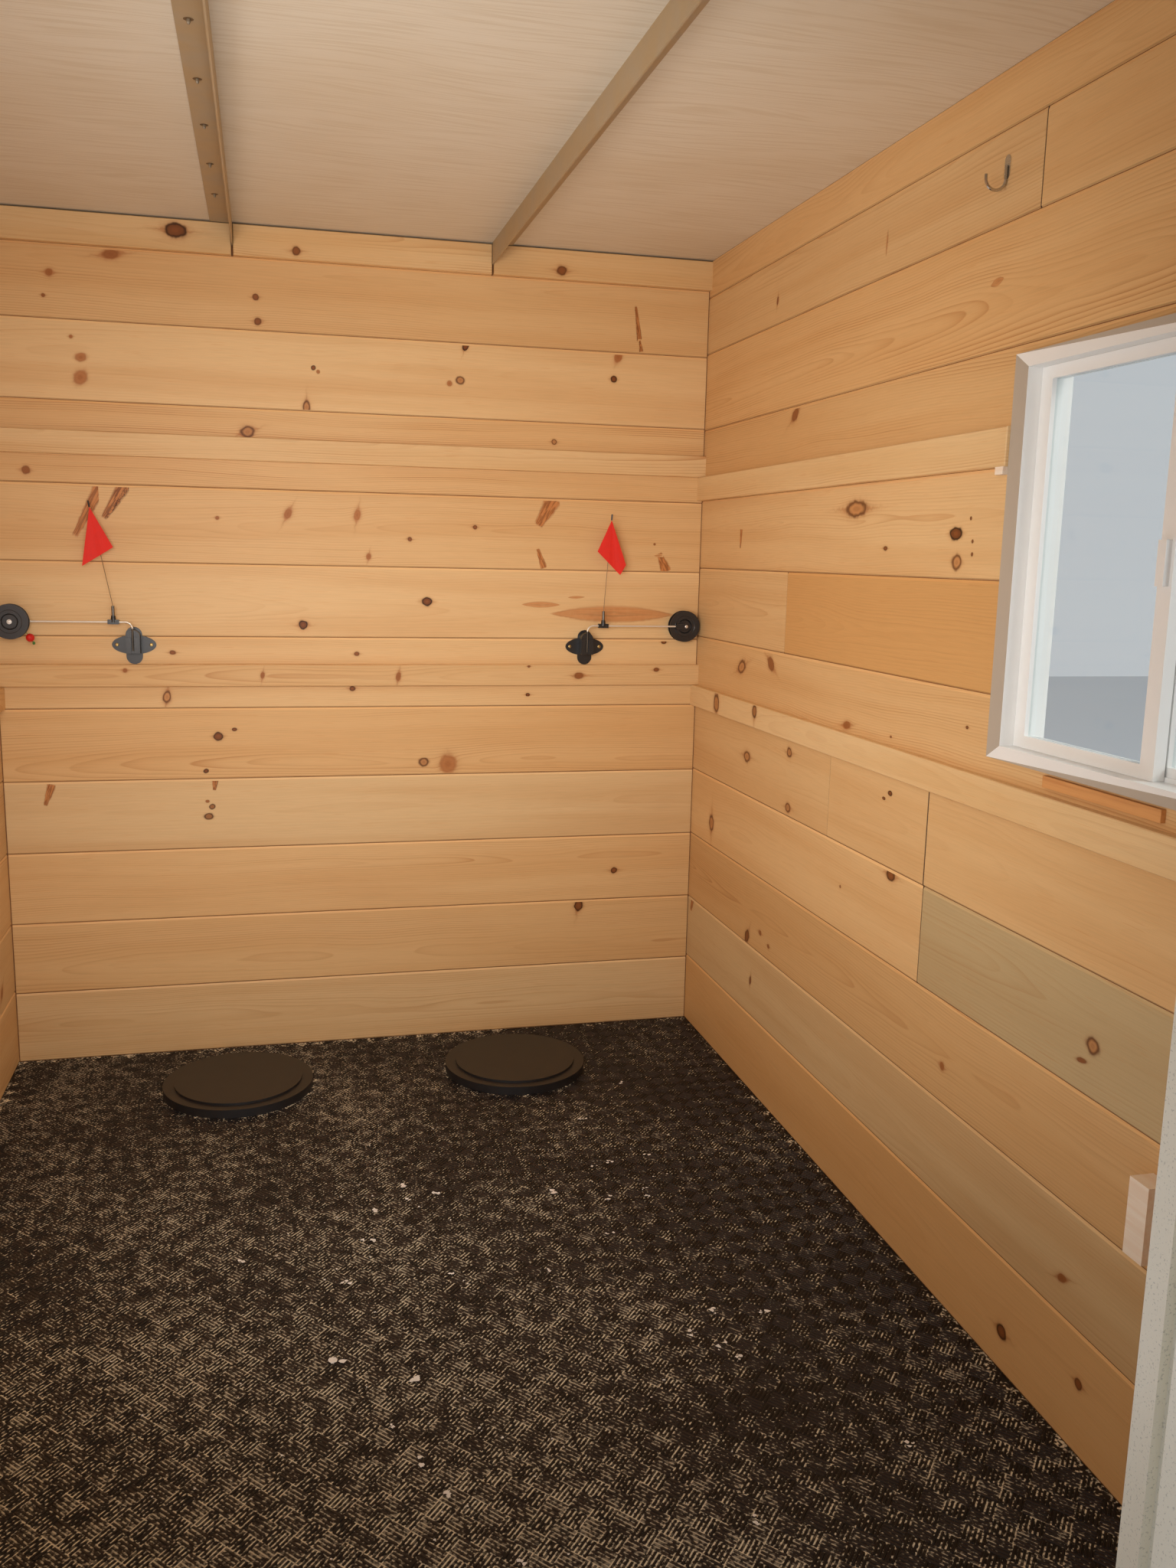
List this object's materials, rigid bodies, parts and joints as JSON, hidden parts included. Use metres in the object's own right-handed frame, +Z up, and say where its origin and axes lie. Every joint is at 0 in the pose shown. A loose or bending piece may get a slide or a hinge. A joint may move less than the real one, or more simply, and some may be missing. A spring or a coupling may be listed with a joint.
{
  "type": "ice fishing hut",
  "caption": "Pine lined ice fishing hut on wooden runners, with sliding windows, an outward opening door, floor ice holes under round covers and swinging wall reels with flags.",
  "frame": {"origin": "under the middle of the hut, on the underside of the middle runner at ground level", "axes": "+X right as seen from the door, +Y from the door wall to the back wall, +Z up"},
  "size_m": [1.956, 3.5546, 2.318],
  "materials": {
    "runner_wood": "rough, weathered",
    "framing_wood": "sawn softwood",
    "plywood": "sheathing plywood",
    "rubber_mat": "basket weave ribs, worn",
    "black_plastic": "moulded, matt",
    "pine": "clear coated knotty boards",
    "pine_trim": "clear coated strips",
    "white_plywood": "whitewashed, faint grain",
    "angle_steel": "dusty primer",
    "roof_steel": "ribbed sheet",
    "trim_metal": "satin",
    "white_vinyl": "extruded vinyl",
    "window_glass": "clear",
    "door_panel": "off white, lightly speckled",
    "bright_steel": "bright",
    "reel_plastic": "moulded black",
    "red_cloth": "thin plain cloth",
    "cladding": "off white sheet, lightly speckled"
  },
  "bodies": {
    "hut": {"runner_left": "runner_wood", "runner_middle": "runner_wood", "runner_right": "runner_wood", "floor_joists": "framing_wood", "floor_deck": "plywood", "floor_mat": "rubber_mat", "hole_sleeve_left": "black_plastic", "hole_sleeve_right": "black_plastic", "hole_covers": "black_plastic", "back_wall": "pine", "left_wall": "pine", "right_wall": "pine", "front_wall_left": "pine", "front_wall_right": "pine", "front_wall_header": "pine", "back_top_strip": "pine_trim", "back_rails": "pine_trim", "left_rails": "pine_trim", "right_rails": "pine_trim", "ceiling_panel": "white_plywood", "ceiling_angle_left": "angle_steel", "ceiling_angle_right": "angle_steel", "roof_sheet": "roof_steel", "corner_trims": "trim_metal", "left_window_frame": "white_vinyl", "left_window_sashes": "white_vinyl", "left_window_glass": "window_glass", "right_window_frame": "white_vinyl", "right_window_sashes": "white_vinyl", "right_window_glass": "window_glass", "door_frame": "door_panel", "door_hinge_plates": "bright_steel", "left_reel_bracket": "reel_plastic", "right_reel_bracket": "reel_plastic", "coat_hook": "bright_steel", "wood_block": "framing_wood"},
    "door": {"door_leaf": "door_panel", "door_handle": "bright_steel", "door_hinge_straps": "bright_steel"},
    "left_arm": {"left_reel_arm": "bright_steel", "left_reel_flag": "red_cloth"},
    "left_spool": {"left_reel_spool": "reel_plastic"},
    "right_arm": {"right_reel_arm": "bright_steel", "right_reel_flag": "red_cloth"},
    "right_spool": {"right_reel_spool": "reel_plastic"}
  },
  "joints": [
    {"name": "door_hinge", "type": "hinge", "parent": "hut", "child": "door", "pos_m": [0.4645, -1.301, 1.17], "axis": [0, 0, 1], "range_deg": [-95, 20]},
    {"name": "left_arm_swivel", "type": "hinge", "parent": "hut", "child": "left_arm", "pos_m": [-0.562, 1.1935, 1.357], "axis": [0, 0, 1], "range_deg": [0, 100]},
    {"name": "right_arm_swivel", "type": "hinge", "parent": "hut", "child": "right_arm", "pos_m": [0.562, 1.1935, 1.357], "axis": [0, 0, 1], "range_deg": [-100, 0]},
    {"name": "left_spool_spin", "type": "hinge", "parent": "left_arm", "child": "left_spool", "pos_m": [-0.83, 1.1935, 1.357], "axis": [0, 1, 0], "continuous": true},
    {"name": "right_spool_spin", "type": "hinge", "parent": "right_arm", "child": "right_spool", "pos_m": [0.83, 1.1935, 1.357], "axis": [0, 1, 0], "continuous": true}
  ]
}
